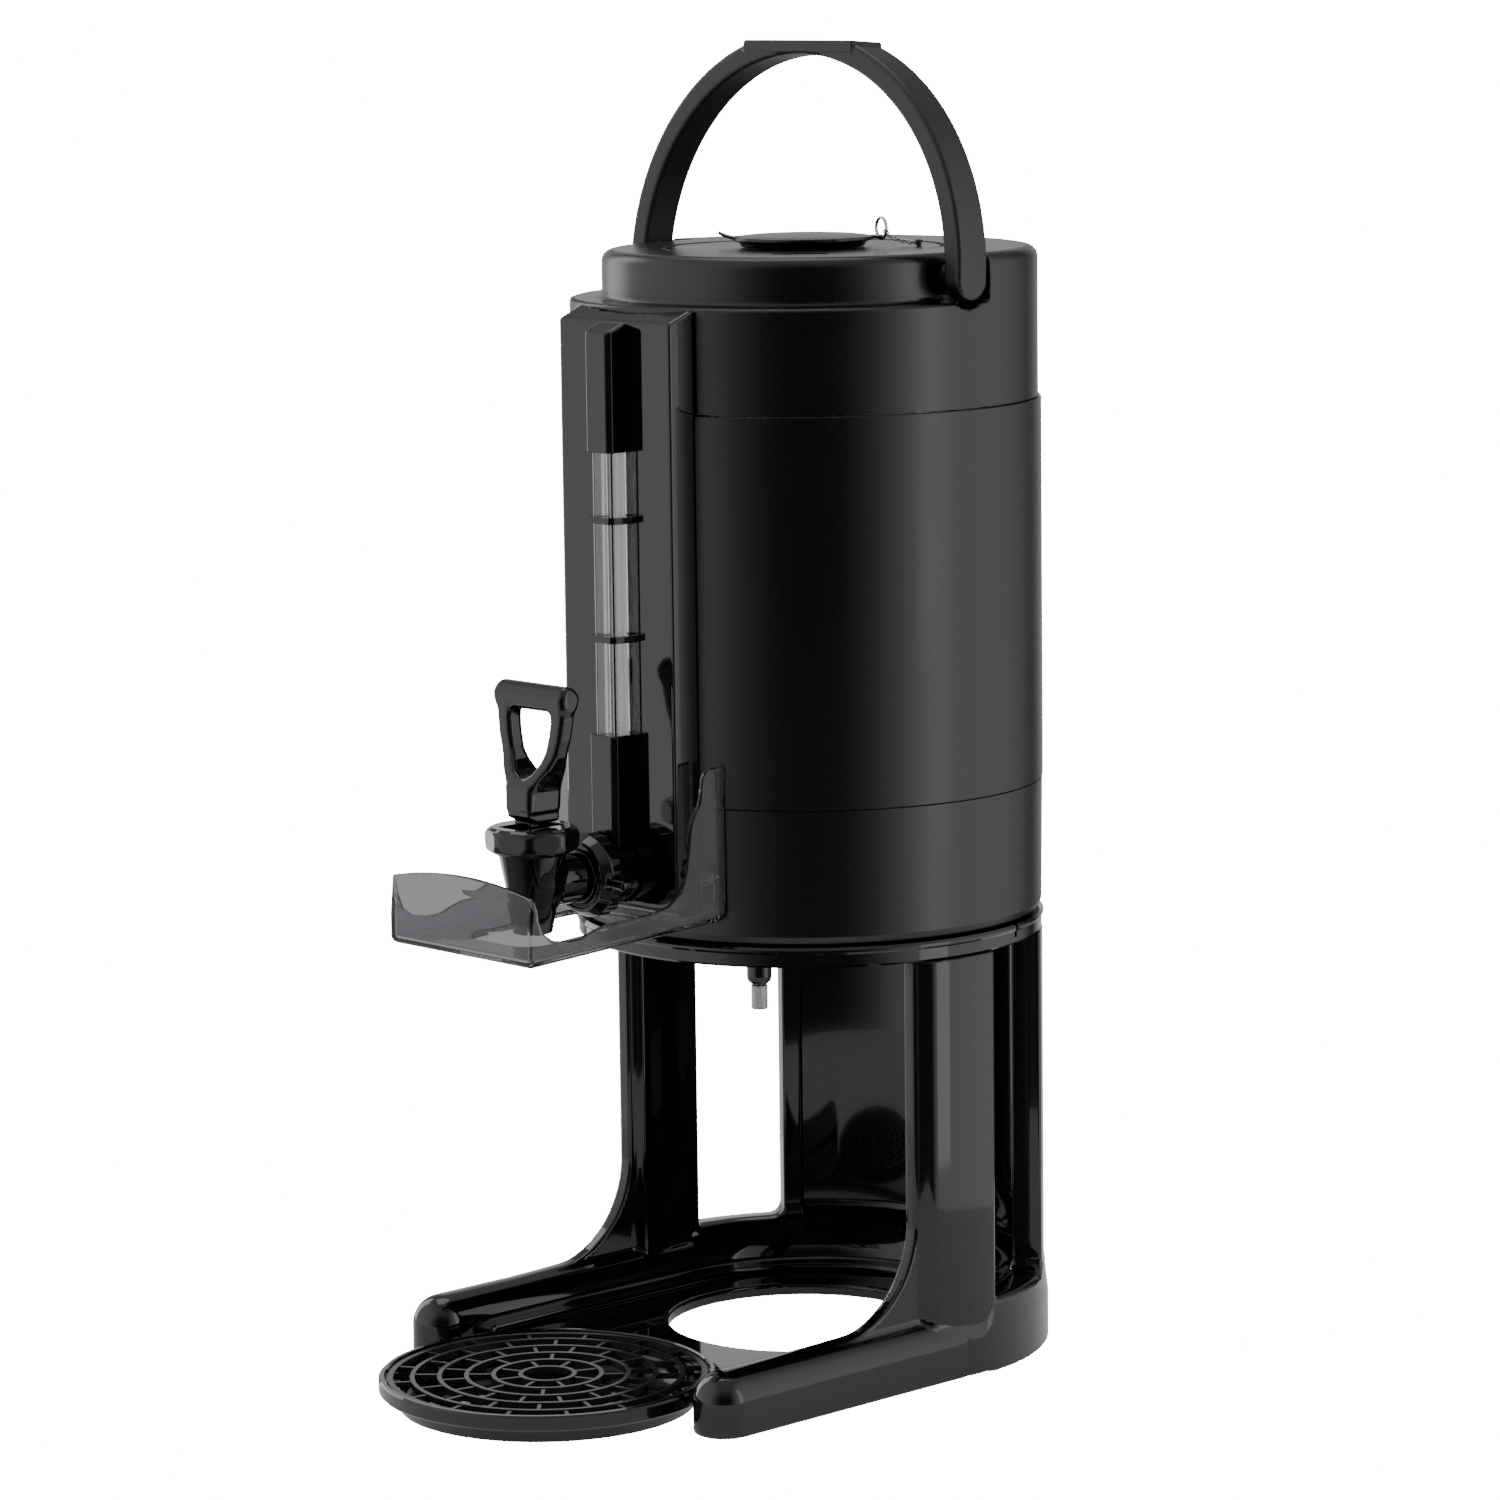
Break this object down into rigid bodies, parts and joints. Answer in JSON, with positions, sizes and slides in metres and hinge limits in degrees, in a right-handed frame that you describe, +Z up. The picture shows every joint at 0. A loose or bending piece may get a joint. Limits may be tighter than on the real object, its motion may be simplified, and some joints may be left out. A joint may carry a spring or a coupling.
{
  "type": "thermal coffee server on a stand",
  "caption": "Insulated coffee server with a lever tap, sight gauge, smoked splash guard and folding bail, on a footed stand with a round drip tray.",
  "frame": {"origin": "on the table, in the middle of the footprint", "axes": "+Z up; the tap and the drip tray face -Y; +X is to the right of someone who stands in front of the tap"},
  "size_m": [0.2026, 0.3249, 0.5567],
  "materials": {
    "gloss_black": "glossy moulded black plastic",
    "satin_black": "satin black moulded plastic",
    "handle_black": "fine-textured black plastic",
    "black_plastic": "plain black plastic",
    "rubber": "soft black or grey rubber",
    "steel": "turned and knurled steel",
    "stainless": "brushed stainless steel",
    "chrome": "bright plated wire",
    "clear": "clear moulded tube and cover",
    "reflector": "pale grey backing strip",
    "smoke": "smoked clear moulding"
  },
  "bodies": {
    "stand": {"stand_base": "gloss_black", "stand_post_right": "gloss_black", "stand_post_left": "gloss_black", "stand_back": "gloss_black", "stand_ring": "gloss_black", "stand_feet": "rubber", "plunger_boss": "gloss_black", "plunger_spring": "steel"},
    "drip_tray": {"drip_tray": "gloss_black"},
    "drip_grate": {"drip_grate": "gloss_black"},
    "plunger": {"plunger_pin": "steel"},
    "server": {"bottom_cover": "satin_black", "outer_sleeve": "satin_black", "top_cover": "satin_black", "vacuum_wall": "stainless", "liner_base": "stainless", "liner_wall": "stainless", "liner_neck": "stainless", "bail_pivot_pins": "handle_black", "bail_bushings": "black_plastic", "front_shroud": "gloss_black", "gauge_cover_upper": "gloss_black", "gauge_cover_lower": "gloss_black", "gauge_window": "clear", "gauge_tube": "clear", "gauge_backing": "reflector", "gauge_clips": "gloss_black", "gauge_vent_plug": "rubber", "tap_shank": "black_plastic", "shank_flange_nut": "black_plastic", "shank_gasket": "rubber", "gauge_tee": "gloss_black", "tap_body": "gloss_black", "tap_bonnet": "gloss_black", "valve_spring": "steel", "lever_pin": "steel", "splash_guard": "smoke", "guard_screws": "steel"},
    "wing_nut": {"wing_nut": "gloss_black"},
    "bail": {"bail_handle": "handle_black"},
    "lid": {"screw_lid": "satin_black", "lid_gasket": "rubber", "fill_tube": "black_plastic", "chain_anchor": "chrome", "cap_chain": "chrome"},
    "vent_cap": {"vent_cap": "satin_black", "cap_ring": "chrome"},
    "lever": {"tap_lever": "gloss_black"},
    "valve_stem": {"valve_stem": "steel", "seat_cup": "rubber"}
  },
  "joints": [
    {"name": "server_lift", "type": "slide", "parent": "stand", "child": "server", "axis": [0, 0, 1], "range_m": [0, 0.12]},
    {"name": "tray_lift", "type": "slide", "parent": "stand", "child": "drip_tray", "axis": [0, 0, 1], "range_m": [0, 0.1]},
    {"name": "grate_lift", "type": "slide", "parent": "drip_tray", "child": "drip_grate", "axis": [0, 0, 1], "range_m": [0, 0.05]},
    {"name": "plunger_pull", "type": "slide", "parent": "stand", "child": "plunger", "axis": [0, 0, -1], "range_m": [0, 0.0035], "stiffness_N_per_m": 400, "deforming": ["plunger_spring"]},
    {"name": "bail_swing", "type": "hinge", "parent": "server", "child": "bail", "pos_m": [0, 0.06115, 0.4598], "axis": [1, 0, 0], "range_deg": [0, 93.9]},
    {"name": "lid_lift", "type": "slide", "parent": "server", "child": "lid", "axis": [0, 0, 1], "range_m": [0, 0.055]},
    {"name": "cap_lift", "type": "slide", "parent": "lid", "child": "vent_cap", "axis": [0, 0, 1], "range_m": [0, 0.05]},
    {"name": "lever_tilt", "type": "hinge", "parent": "server", "child": "lever", "pos_m": [0, -0.09535, 0.2376], "axis": [1, 0, 0], "range_deg": [0, 25], "stiffness_Nm_per_rad": 0.25},
    {"name": "valve_lift", "type": "slide", "parent": "server", "child": "valve_stem", "axis": [0, 0, 1], "range_m": [0, 0.0033], "deforming": ["valve_spring"]},
    {"name": "wing_nut_turn", "type": "hinge", "parent": "server", "child": "wing_nut", "pos_m": [0, -0.06565, 0.218], "axis": [0, -1, 0], "range_deg": [-22, 22]}
  ],
  "couplings": [
    {"joint": "valve_lift", "follows": "lever_tilt", "m_per_rad": 0.00756}
  ]
}
